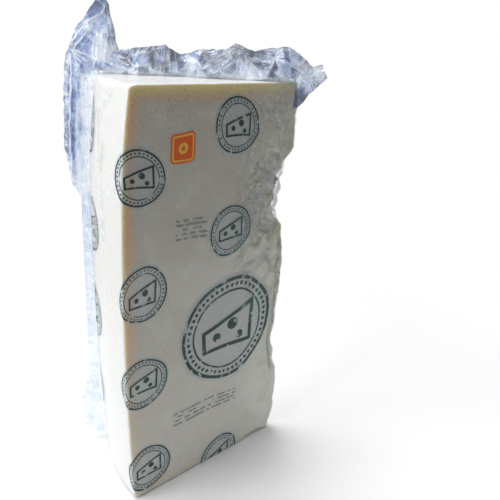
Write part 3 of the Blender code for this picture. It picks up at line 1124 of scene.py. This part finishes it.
def height_near(place, known):
    """Height at a place from the known points, nearer ones counting more."""
    total = weight_sum = 0.0
    for s, z, forward in known:
        weight = 1 / ((place[0] - s) ** 2 + (place[1] - z) ** 2 + 0.01) ** 1.5
        total += weight * forward
        weight_sum += weight
    return total / weight_sum


def strewn(outline, known, gap, draw):
    """Random places in the outline's box, at least gap from each other and from what is known."""
    taken = [(p[0], p[1]) for p in known]
    low_s, high_s = min(p[0] for p in outline), max(p[0] for p in outline)
    low_z, high_z = min(p[1] for p in outline), max(p[1] for p in outline)
    made = []
    for _ in range(int(9 * (high_s - low_s) * (high_z - low_z) / gap**2)):
        place = (draw.uniform(low_s, high_s), draw.uniform(low_z, high_z))
        if all((place[0] - s) ** 2 + (place[1] - z) ** 2 > gap**2 for s, z in taken):
            taken.append(place)
            made.append(place)
    return made


print("free edge, points:", len(ragged_edge(random.Random(0), 0)))

# %% Triangulate a crumpled sheet
def facets(root, creases, gap, nudge, stray, seed):
    """Points with heights, faces, creased edges and the free edge of a crumpled sheet."""
    draw = random.Random(seed)
    edge = ragged_edge(draw, stray)
    outline = edge + walk(root, 9.0)
    known = list(outline)
    kept = [(i, (i + 1) % len(outline)) for i in range(len(outline))]
    for path in creases:
        places = walk(path, 6.0)
        kept += [(len(known) + i, len(known) + i + 1) for i in range(len(places) - 1)]
        known += places
    between = strewn(outline, known, gap, draw)
    flat = [Vector((p[0], p[1])) for p in known] + [Vector(p) for p in between]
    ring = [list(range(len(outline)))]
    cut = geometry.delaunay_2d_cdt(flat, kept, ring, 1, 0.05)
    places, edges, faces, sources, edge_sources, _ = cut
    heights = []
    for place, source in zip(places, sources):
        if source and source[0] < len(known):
            heights.append(known[source[0]][2])
        else:
            heights.append(height_near(place, known) + draw.uniform(-nudge, nudge))
    creased = {tuple(sorted(pair)) for pair, source in zip(edges, edge_sources) if source}
    return [(p[0], p[1], h) for p, h in zip(places, heights)], faces, creased, edge


all_creases = [*BRIGHT_CREASES.values(), *SOFT_CREASES.values()]
front_layout = facets(FRONT_ROOT, all_creases, gap=5.0, nudge=1.0, stray=0.7, seed=3)
back_layout = facets(BACK_ROOT, [], gap=7.0, nudge=1.2, stray=0.7, seed=3)
print("facets:", len(front_layout[1]), "in front and", len(back_layout[1]), "behind")

# %% [markdown]
# ## From facets to film
#
# The facets become a mesh on the seam plane, whose edges carry a crease weight: nearly 1 on the
# main creases, a random lower one elsewhere. The Subdivision modifier reads that weight, so the
# main creases stay sharp and the others soften. Solidify then gives the wall its thickness.

# %% Make the two sheets
FILM_WALL = 0.16 * MM


def seam_point(s, z, forward):
    """The point of the pack at a place of the seam plane that is given in millimetres."""
    off_plane = BACK_NORMAL * (forward + SEAM_FORWARD / MM)
    return heart + (BACKWARD * s - off_plane + Vector((0, 0, z))) * MM


def seam_places(piece):
    """Distance along the back cut and height of each vertex, in millimetres."""
    from_heart = (points_of(piece) - np.array(heart)) / MM
    return from_heart @ np.array(BACKWARD), from_heart[:, 2]


def facet_mesh(name, layout, set_back, seed):
    """The facets as an object, with crease weights on its edges and a random tone on each face, a
    painted reflection that differs from facet to facet.
    """
    places, faces, creased, _ = layout
    draw = random.Random(seed)
    mesh = bpy.data.meshes.new(name)
    mesh.from_pydata([seam_point(s, z, forward - set_back) for s, z, forward in places], [], faces)
    made = bpy.data.objects.new(name, mesh)
    bpy.context.scene.collection.objects.link(made)
    weights = mesh.attributes.new("crease_edge", "FLOAT", "EDGE")
    for edge in mesh.edges:
        sharp = tuple(sorted(edge.vertices)) in creased
        weights.data[edge.index].value = 0.9 if sharp else draw.uniform(0.15, 0.6)
    shade = mesh.attributes.new("facet", "FLOAT", "FACE")
    shade.data.foreach_set("value", [draw.uniform(-1, 1) for _ in mesh.polygons])
    return made


def close_sheet(piece):
    """Deletes what is loose, turns the faces one way and subdivides."""
    pick(piece)
    bpy.ops.object.mode_set(mode="EDIT")
    bpy.ops.mesh.select_all(action="SELECT")
    bpy.ops.mesh.delete_loose()
    bpy.ops.mesh.select_all(action="SELECT")
    bpy.ops.mesh.normals_make_consistent(inside=False)
    bpy.ops.object.mode_set(mode="OBJECT")
    modify(piece, "SUBSURF", levels=3, render_levels=3)


loose_front = facet_mesh("loose_film_front", front_layout, 0.0, seed=5)
loose_back = facet_mesh("loose_film_back", back_layout, 0.8, seed=9)
for sheet in (loose_front, loose_back):
    close_sheet(sheet)
    print(sheet.name, "faces:", len(sheet.data.polygons))

# %% [markdown]
# ## Pleats that run from where the film is pinched
#
# Between the main creases a crumpled film is full of fine pleats, and they aren't strewn at
# random: they run together where the film is pinched. So each part of the sheet gets a point that
# its pleats aim at. A UV map holds the way across the pleats, and a sixth of the way along them,
# and any noise that is read through that map is drawn out into pleats.

# %% Lay a UV map along the pleats and push them in
PLEAT_STRETCH = 6.0
PLEATS = {
    # the middle of each part of the sheet, and the point that its pleats aim at
    "fan at the mouth's foot": ((157, 309), (162.5, 315)),
    "weld": ((156, 324), (130, 354)),
    "under the tip": ((142, 330), (139, 345)),
    "collar": ((142, 315), (141, 352)),
    "above the lip": ((131, 307), (160, 320)),
    "arc": ((117, 310), (125, 302)),
    "falls": ((101, 310), (101, 362)),
    "notch": ((83, 312), (78, 308)),
    "middle": ((65, 311), (44, 324)),
    "pale fold": ((45, 308), (48, 320)),
    "dark fold": ((36, 315), (60, 318)),
    "apex": ((24, 307), (24, 316)),
    "ridge": ((9, 310), (30, 322)),
    "ear": ((-9, 305), (2, 301)),
    "ear's foot": ((2, 292), (10, 304)),
    "fin's top": ((158, 285), (160, 400)),
    "fin": ((160, 240), (166, 400)),
    "web": ((151, 270), (150, 420)),
    "low fin": ((154, 160), (154, 420)),
    "foot of the fin": ((156, 60), (154, -200)),
}


# the parts of the sheet that stay smooth: place on the seam plane, and reach along it and up
CALM = (
    ((147, 338.5), (6.5, 6.0)), ((151.5, 317), (3.6, 3.6)), ((115, 310.5), (3.2, 3.2)),
    ((132, 303.2), (5.0, 3.4)), ((57, 304.5), (6.0, 3.4)), ((15, 308.8), (3.6, 3.6)),
    ((142.5, 331), (3.0, 3.0)), ((42.5, 306.0), (4.5, 3.4)), ((72.6, 315.4), (2.4, 2.4)),
    ((92.6, 315.6), (2.6, 2.6)), ((2, 289), (5.0, 6.0)), ((162.2, 285), (1.6, 10.0)),
)  # fmt: skip


def smooth_parts(piece):
    """How smooth the sheet stays at each vertex, from 0 to 1."""
    s, z = seam_places(piece)
    calm = np.zeros(s.shape)
    for (at_s, at_z), (wide, tall) in CALM:
        calm = np.maximum(calm, np.exp(-(((s - at_s) / wide) ** 4) - ((z - at_z) / tall) ** 4))
    return calm


def lay_pleats(piece):
    """A UV map, in metres, whose first axis crosses the pleats."""
    mesh = piece.data
    homes, aims = np.array(list(PLEATS.values()), dtype=float).swapaxes(0, 1)
    reach = np.hypot(*(homes - aims).T)
    corners = read(mesh.loops, "vertex_index", kind=int)
    places = np.column_stack(seam_places(piece))
    middles = places[corners].reshape(-1, 4, 2).mean(axis=1)
    part = np.argmin(((middles[:, None] - homes) ** 2).sum(axis=2), axis=1).repeat(4)
    from_aim = places[corners] - aims[part]
    towards = homes[part] - aims[part]
    turned = from_aim[:, 0] * towards[:, 1] - from_aim[:, 1] * towards[:, 0]
    facing = (from_aim * towards).sum(axis=1)
    across = np.arctan2(turned, facing) * reach[part] + 40 * part
    along = np.hypot(*from_aim.T) / PLEAT_STRETCH
    layer = mesh.uv_layers.new(name="pleats")
    layer.data.foreach_set("uv", (np.column_stack((across, along)) * MM).ravel())


for sheet in (loose_front, loose_back):
    lay_pleats(sheet)
    mark(sheet, "crumpled", 1 - smooth_parts(sheet) * 0.85)
    for kind, size, height in (("broad", 3.6 * MM, 1.3 * MM), ("fine", 1.7 * MM, 0.40 * MM)):
        modify(
            sheet, "DISPLACE", texture=relief(sheet.name + "_" + kind, "CLOUDS", size),
            texture_coords="UV", uv_layer="pleats", strength=height, mid_level=0.5,
            vertex_group="crumpled",
        )  # fmt: skip
    modify(sheet, "SOLIDIFY", thickness=FILM_WALL, offset=0.0)
    bpy.ops.object.shade_smooth_by_angle(angle=math.radians(38))
print("pleats pushed in")

# %% [markdown]
# ## Tones and lines
#
# What is seen in crumpled film isn't the film but what it mirrors and bends, so its colours are
# painted reflections and painted highlights: dark where it would mirror the dark side of a room,
# blue as if it bent a bluish surround, milky white where painted highlights fall. Those places are
# named here with a tone, from 0 for dark to 1 for white, and a share of blue, and they blend into
# each other.
# Four masks go with them: the white lines on the main creases, partly painted glints, the dark line
# along the free edge, the calm parts without pleats, and how much of the film shows at all, which is
# nothing where it lies against the cheese.

# %% Name the places that catch the eye
TONES = {
    # place on the seam plane, reach along it and up, tone of the painted reflection, share of blue
    "lip of the mouth": ((146, 339), (5.5, 5.5), 0.30, 1.0),
    "weld's light": ((151, 330.5), (2.4, 2.4), 0.92, 0.8),
    "weld strip": ((156, 323.5), (4.0, 4.0), 0.64, 0.9),
    "blue triangle": ((151.5, 317), (4.6, 4.6), 0.36, 1.0),
    "under the tip": ((142.5, 331), (4.0, 4.0), 0.72, 0.9),
    "collar": ((142.3, 314), (5.0, 5.0), 1.00, 0.8),
    "collar top": ((140.8, 323.5), (3.0, 3.0), 0.93, 0.7),
    "peak side": ((135.4, 323), (3.2, 3.2), 0.52, 0.6),
    "edge strip": ((165, 307), (2.4, 2.4), 0.84, 0.6),
    "fan": ((157, 309), (3.6, 3.6), 0.38, 1.0),
    "fan's foot": ((152.5, 303), (4.5, 4.5), 0.64, 1.0),
    "above the lip": ((132.4, 308.8), (3.6, 3.6), 0.60, 0.6),
    "under the lip": ((132, 303.2), (4.4, 4.4), 0.54, 0.9),
    "teal facet": ((127.2, 308.2), (2.8, 2.8), 0.20, 0.1),
    "violet patch": ((115, 310.5), (3.8, 3.8), 0.70, 0.7),
    "under the arc": ((115, 303.5), (4.0, 4.0), 0.46, 0.6),
    "dark top": ((113, 316.5), (4.0, 4.0), 0.34, 0.3),
    "falls": ((102, 311), (6.0, 6.0), 0.44, 0.3),
    "dark spots": ((101, 304.2), (2.4, 2.4), 0.20, 0.2),
    "light fall": ((99.6, 312), (1.6, 1.6), 0.74, 0.5),
    "right dark facet": ((92.6, 315.6), (3.2, 3.2), 0.26, 0.4),
    "bright spot": ((82.5, 308.5), (2.6, 2.6), 0.95, 0.5),
    "dark violet": ((72.6, 315.4), (3.0, 3.0), 0.20, 0.6),
    "green crumple": ((68, 311), (4.0, 4.0), 0.58, 0.1),
    "under the ridge": ((57, 305), (5.0, 5.0), 0.56, 0.6),
    "top of the middle": ((52, 320), (5.0, 5.0), 0.55, 0.1),
    "cyan facet": ((42.5, 306.5), (4.5, 4.5), 0.74, 0.8),
    "green zone": ((37, 315), (4.5, 4.5), 0.32, 0.15),
    "between the legs": ((23, 309.5), (2.0, 2.0), 0.40, 1.0),
    "white spot": ((21.8, 306.6), (1.5, 1.5), 1.00, 0.6),
    "blue facet": ((15, 308.8), (3.8, 3.8), 0.40, 1.0),
    "over the ridge": ((14, 316.5), (4.0, 4.0), 0.58, 0.7),
    "right dark": ((0, 307.6), (3.0, 3.0), 0.56, 0.5),
    "ear": ((-10.5, 307), (3.0, 3.0), 0.95, 0.6),
    "lavender zone": ((0, 299.8), (4.0, 4.0), 0.84, 0.8),
    "ear's foot": ((2, 289), (5.0, 5.0), 0.20, 0.6),
    "fin stripe": ((162.2, 285), (1.9, 14.0), 0.26, 1.0),
    "fin stripe's foot": ((164, 252), (1.9, 15.0), 0.26, 1.0),
    "fin edge": ((168.6, 262), (1.8, 13.0), 0.44, 0.3),
    "fin edge's top": ((167.2, 290), (1.6, 11.0), 0.70, 0.6),
    "white strip": ((157.8, 285), (1.9, 14.0), 0.78, 1.0),
    "white strip's foot": ((159.3, 252), (1.9, 14.0), 0.80, 1.0),
}
BASE_WEIGHT = 0.06
FLAP_TONE = 0.58
FIN_TONE = 0.90
BASE_BLUE = 0.6
LOW_FIN_BODY = 0.40
# how far a line strays, and how far from its path it fades, in millimetres
LINE_STRAY = 0.8
BRIGHT_REACH, SOFT_REACH, RIM_REACH = 0.55, 0.5, 0.8
# where a mask starts to rise or to fall and where it has done so, along the back cut or up
FIN_ALONG, FIN_FOOT = (150, 159), (205, 245)
LOW_FIN_ALONG, LOW_FIN_TOP = (145, 152), (205, 240)
PAST_HEART = (8, 11)
NEAR_CHEESE_ALONG, NEAR_CHEESE_UP = ((6, 10), (144, 152)), ((290, 296), (300.5, 305))
FLAP_SHOWN, FLAP_TONED, RIM_SHOWN = (296, 300), (292, 300), (225, 300)
print(len(TONES), "places named")

# %% Work the tones and lines out for every point
def blended(s, z, column, base):
    """One column of the named places, blended into each other and into the base."""
    total = BASE_WEIGHT * base
    weights = np.full(s.shape, BASE_WEIGHT)
    for (at_s, at_z), (wide, tall), *values in TONES.values():
        weight = np.exp(-(((s - at_s) / wide) ** 2) - ((z - at_z) / tall) ** 2)
        total = total + weight * values[column]
        weights = weights + weight
    return total / weights


def mark_film(piece, edge, bright, soft, body):
    """Keeps tone, blue, calm, ridge, rim and veil on the points of a sheet of the given body."""
    s, z = seam_places(piece)
    points = points_of(piece)
    low_fin = rise(s, *LOW_FIN_ALONG) * (1 - rise(z, *LOW_FIN_TOP))
    on_fin = np.maximum(rise(s, *FIN_ALONG) * rise(z, *FIN_FOOT), low_fin * LOW_FIN_BODY)
    past_heart = 1 - rise(s, *PAST_HEART)
    near_cheese = within(z, *NEAR_CHEESE_UP) * within(s, *NEAR_CHEESE_ALONG)
    on_film = np.maximum(np.maximum(rise(z, *FLAP_SHOWN), on_fin), past_heart)

    stray_s, stray_z = (cloud(points, 4 * MM, seed) * LINE_STRAY for seed in (1, 6))
    bright_line = nearness(s + stray_s, z + stray_z, bright, BRIGHT_REACH)
    soft_line = nearness(s + stray_s, z + stray_z, soft, SOFT_REACH) * 0.35
    on_flap = rise(z, *FLAP_TONED)
    tone = blended(s, z, 0, FLAP_TONE * on_flap + FIN_TONE * (1 - on_flap)) - low_fin * 0.18
    keep(
        piece,
        tone=tone + (0.95 - tone) * near_cheese,
        blue=blended(s, z, 1, BASE_BLUE) * (1 - near_cheese * 0.7) + low_fin * 0.3,
        calm=np.maximum(np.maximum(smooth_parts(piece), near_cheese), low_fin),
        ridge=np.maximum(bright_line, soft_line),
        rim=nearness(s, z, [edge], RIM_REACH) * rise(z, *RIM_SHOWN),
        veil=on_film * (0.96 + near_cheese * 0.5) * body,
    )


mark_film(loose_front, front_layout[3], BRIGHT_CREASES.values(), SOFT_CREASES.values(), body=1.0)
mark_film(loose_back, back_layout[3], [], [], body=0.5)
print("tones marked on both sheets")

# %% [markdown]
# ## The loose film's finish
#
# It is the same clear film, crumpled, so it has more body. Its tone picks a painted reflection
# colour and how much it covers: dark grey violet, blue, then milky white. The pleats draw painted
# light and dark streaks into that tone, and thin white lines, painted glints, where a fine pleat is
# sharp. A ray passes both faces of each wall, so the cover that is wanted from the whole wall is
# shared between the two.

# %% Build the loose film's material
DARK_TONES = (
    # colours of the painted reflections and highlights, grey and blue, from dark to white
    (0.00, (0.030, 0.032, 0.042)), (0.20, (0.080, 0.084, 0.098)), (0.42, (0.150, 0.165, 0.185)),
    (0.62, (0.300, 0.330, 0.350)), (0.82, (0.600, 0.640, 0.660)), (1.00, (0.920, 0.940, 0.950)),
)  # fmt: skip
BLUE_TONES = (
    (0.00, (0.030, 0.034, 0.080)), (0.20, (0.050, 0.080, 0.240)), (0.42, (0.070, 0.190, 0.520)),
    (0.62, (0.150, 0.340, 0.720)), (0.82, (0.460, 0.630, 0.900)), (1.00, (0.870, 0.940, 1.000)),
)  # fmt: skip
COVER_AT = ((0.00, 0.90), (0.40, 0.80), (0.62, 0.54), (0.85, 0.34), (1.00, 0.50))
COVER = [(tone, (share,) * 3) for tone, share in COVER_AT]
FOLD_WHITE_AND_GLINT = (0.93, 0.96, 1.0)
RIM_DARK = (0.060, 0.058, 0.070)


def loose_film_finish():
    finish = Finish(bpy.data.materials.new("loose_film"))
    where = finish.place()[3]
    pleats = finish.node("ShaderNodeUVMap", {"uv_map": "pleats"})
    broad = finish.noise(pleats, 3.2 * MM, detail=2.0)
    fine = finish.noise(pleats, 1.3 * MM, detail=2.0)
    patches = finish.noise(where, 7 * MM, detail=1.0)
    crumple = 1 - finish.attribute("calm") * 0.85
    # painted light and dark streaks along the pleats, and a painted reflection that differs from
    # facet to facet
    streaks = (broad - 0.5) * 0.90 + (fine - 0.5) * 0.25 + (patches - 0.5) * 0.30
    tone = finish.attribute("tone") + streaks * crumple + finish.attribute("facet") * 0.19

    # white lines, milky and painted glints: sharp fine pleats, a crackle between them, and the main
    # creases, a little broken
    sharp = abs(finish.noise(pleats, 2.3 * MM, detail=1.0) - 0.5).fall(0.008, 0.030) * 0.75
    crackle = finish.cells(where, 3.4 * MM, "DISTANCE_TO_EDGE").fall(0.02, 0.07) * 0.35
    marks = sharp.most(crackle) * patches.rise(0.44, 0.60) * crumple
    broken_line = finish.noise(where, 2.2 * MM).rise(0.25, 0.55) * 0.45 + 0.55
    ridge = (finish.attribute("ridge") * broken_line).most(marks)
    rim = finish.attribute("rim") * finish.noise(where, 3 * MM, detail=1.0).rise(0.35, 0.55)

    hue = finish.attribute("blue") + (finish.noise(where, 12 * MM, detail=1.0) - 0.5) * 0.8
    hue = hue.most(0).least(1)
    colour = finish.tint(hue, finish.ramp(tone, DARK_TONES), finish.ramp(tone, BLUE_TONES))
    colour = finish.tint(rim * 0.8, colour, RIM_DARK)
    colour = finish.tint(ridge, colour, FOLD_WHITE_AND_GLINT)

    cover = finish.ramp(tone, COVER) * finish.attribute("veil")
    cover = cover.most(rim * 0.72).most(ridge * 0.90)
    shared = 1 - (1 - cover) ** 0.5

    dents = finish.bump(fine, 0.3 * MM)
    values = {"Base Color": colour, "Roughness": 0.30, "Normal": dents}
    paint = finish.node("ShaderNodeBsdfPrincipled", None, values)
    film = clear_gloss(finish, dents, roughness=0.10, ior=1.4)
    return finish.surface(finish.mixed(shared, film, paint))


loose_finish = loose_film_finish()
for sheet in (loose_front, loose_back):
    sheet.data.materials.append(loose_finish)
    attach(sheet, "root")
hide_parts("bag")
print("loose film finished")

# %% [markdown]
# ## Floor, light and sky
#
# The photo is lit like a product shot: one large soft lamp from the left and a little behind, so
# that the rind side is nearly white and the front cut stays in soft shade. A second soft lamp hangs
# over the pack, and a weak one lies low in front of its foot. The floor is pale and fades out into
# the white sky, so no horizon shows. The camera sees a white sky, and the pack is lit by a dimmer
# one, because a fully white sky would leave no shade at all. Glossy film mirrors one between the
# two.

# %% Lay the floor
FLOOR_SIZE = 3.0
FLOOR_PALE = (0.93, 0.93, 0.92, 1)
FLOOR_FADE = (0.16, 0.46)

bpy.ops.object.select_all(action="DESELECT")
bpy.ops.mesh.primitive_plane_add(size=FLOOR_SIZE, location=(0, 0, -0.3 * MM))
floor = bpy.context.active_object
floor.name = "floor"


def floor_finish():
    finish = Finish(bpy.data.materials.new("pale_floor"))
    x, y, _, _ = finish.place()
    values = {"Base Color": FLOOR_PALE, "Roughness": 0.9}
    paint = finish.node("ShaderNodeBsdfPrincipled", None, values)
    clear = finish.node("ShaderNodeBsdfTransparent")
    return finish.surface(finish.mixed(length(x, y).rise(*FLOOR_FADE), paint, clear))


floor.data.materials.append(floor_finish())
print("floor laid, m:", FLOOR_SIZE)


# %% Hang the lamps
def lamp(name, place, aim, size, power, colour=(1, 1, 1)):
    """A soft rectangular lamp at a place, which looks at the aim and isn't seen itself."""
    turned = (Vector(aim) - Vector(place)).to_track_quat("-Z", "Y").to_euler()
    bpy.ops.object.light_add(type="AREA", location=place, rotation=turned)
    made = bpy.context.active_object
    made.name = name
    made.data.shape = "RECTANGLE"
    made.data.size, made.data.size_y = size
    made.data.energy = power
    made.data.color = colour
    made.visible_camera = False


MIDDLE, FOOT = (0, 0, 0.15), (0, -0.05, 0.03)
COOL = (0.90, 0.95, 1.0)
lamp("key_left", (-1.25, 0.22, 0.62), MIDDLE, size=(0.9, 0.9), power=18)
lamp("top_soft", (0.0, 0.35, 1.30), MIDDLE, size=(0.9, 0.6), power=14)
lamp("fill_low", (0.08, -0.33, 0.02), FOOT, size=(0.5, 0.04), power=0.15, colour=COOL)

# %% Build the sky
SKY_SEEN = (1.0, 1.0, 1.0, 1)
SKY_COOL = (0.94, 0.96, 1.0, 1)
SKY_LIGHT = 0.28
GLOSS_SKY = 0.55


def sky_finish():
    """White where the camera sees it, dimmer where it lights, and between the two in gloss."""
    finish = Finish(bpy.data.worlds.new("white_sky"))
    seen_share = finish.node("ShaderNodeLightPath", output="Is Camera Ray")
    share = seen_share + seen_share.output("Is Glossy Ray") * GLOSS_SKY
    light = finish.node("ShaderNodeBackground", None, {"Color": SKY_COOL, "Strength": SKY_LIGHT})
    seen = finish.node("ShaderNodeBackground", None, {"Color": SKY_SEEN, "Strength": 1.0})
    return finish.surface(finish.mixed(share, light, seen), "ShaderNodeOutputWorld")


bpy.context.scene.world = sky_finish()
bpy.context.scene.view_settings.view_transform = "Standard"
bpy.context.scene.cycles.transparent_max_bounces = 24  # many walls of film lie behind each other
print("sky:", bpy.context.scene.world.name)
